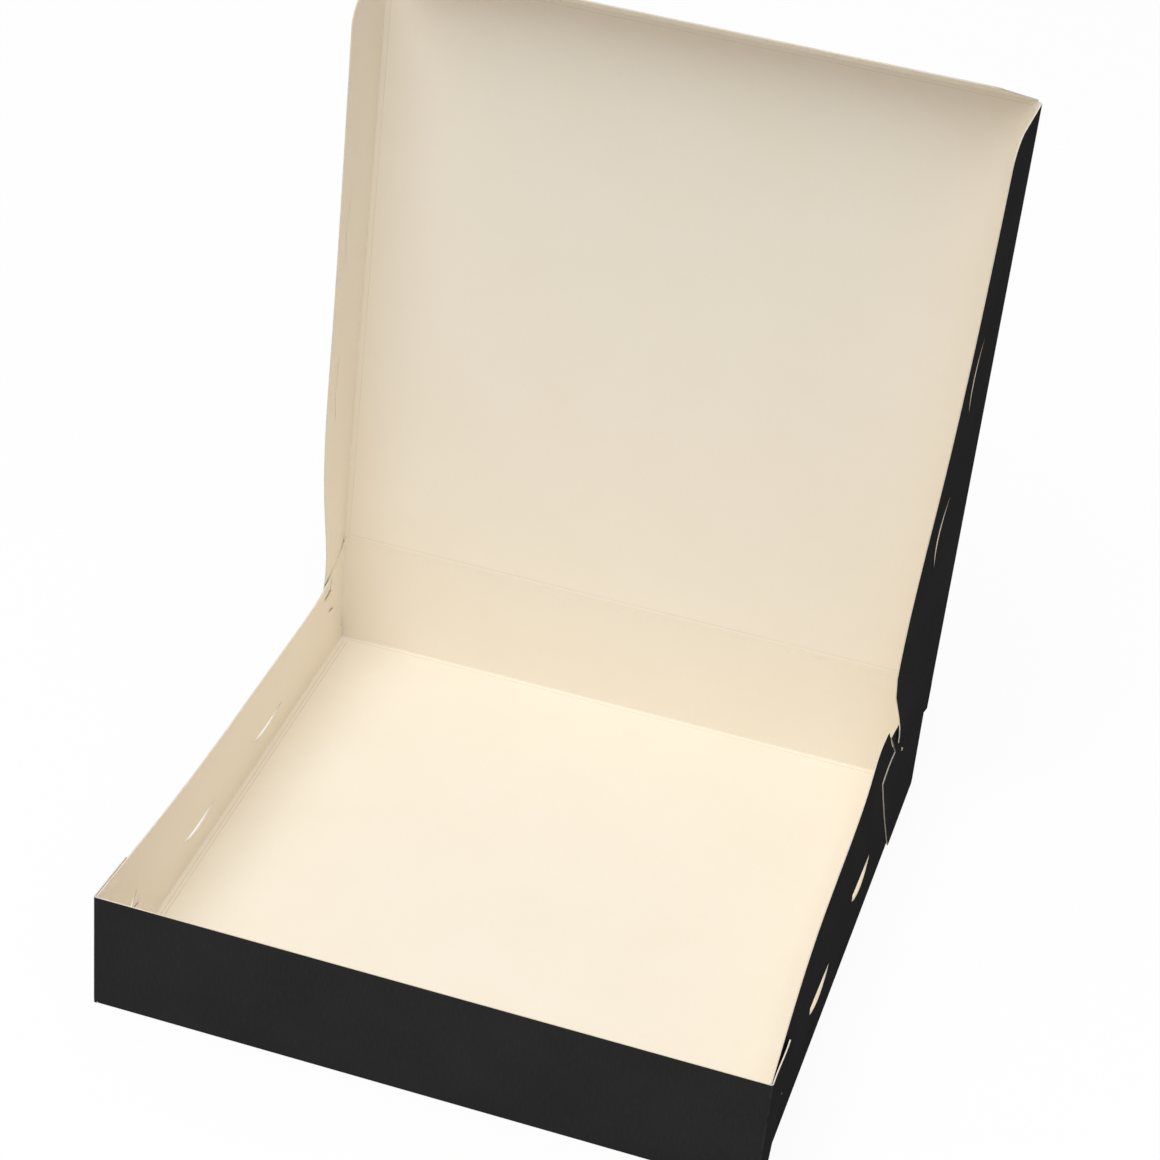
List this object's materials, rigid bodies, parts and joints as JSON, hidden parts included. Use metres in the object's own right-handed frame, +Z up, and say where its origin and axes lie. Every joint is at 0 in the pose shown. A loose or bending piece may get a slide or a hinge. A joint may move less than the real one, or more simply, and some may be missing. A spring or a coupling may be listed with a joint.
{
  "type": "cake box",
  "caption": "Shallow square folded-card cake box with hook-locked corners, standing open, with a hinged lid that has folding front and side flaps.",
  "frame": {"origin": "centre of the underside of the tray's floor", "axes": "+X to the box's right seen from its front, -Y towards the front wall, +Z up; the lid is hinged along the rear wall"},
  "size_m": [0.302, 0.3194, 0.3784],
  "materials": {
    "card": "smooth folding board, black outside and cream inside"
  },
  "bodies": {
    "tray": {"tray": "card"},
    "lid": {"lid": "card"},
    "lid_front_flap": {"lid_front_flap": "card"},
    "lid_left_flap": {"lid_left_flap": "card"},
    "lid_right_flap": {"lid_right_flap": "card"}
  },
  "joints": [
    {"name": "lid_hinge", "type": "hinge", "parent": "tray", "child": "lid", "pos_m": [0, 0.1497, 0.0607], "axis": [1, 0, 0], "range_deg": [-86.3, 93.7]},
    {"name": "front_flap_crease", "type": "hinge", "parent": "lid", "child": "lid_front_flap", "pos_m": [0, 0.16909, 0.36047], "axis": [1, 0, 0], "range_deg": [-66, 24]},
    {"name": "left_flap_crease", "type": "hinge", "parent": "lid", "child": "lid_left_flap", "pos_m": [-0.1507, 0.15938, 0.21039], "axis": [0, 0.0645, 0.9979], "range_deg": [-90, 0]},
    {"name": "right_flap_crease", "type": "hinge", "parent": "lid", "child": "lid_right_flap", "pos_m": [0.1507, 0.15938, 0.21039], "axis": [0, -0.0645, -0.9979], "range_deg": [-90, 0]}
  ]
}
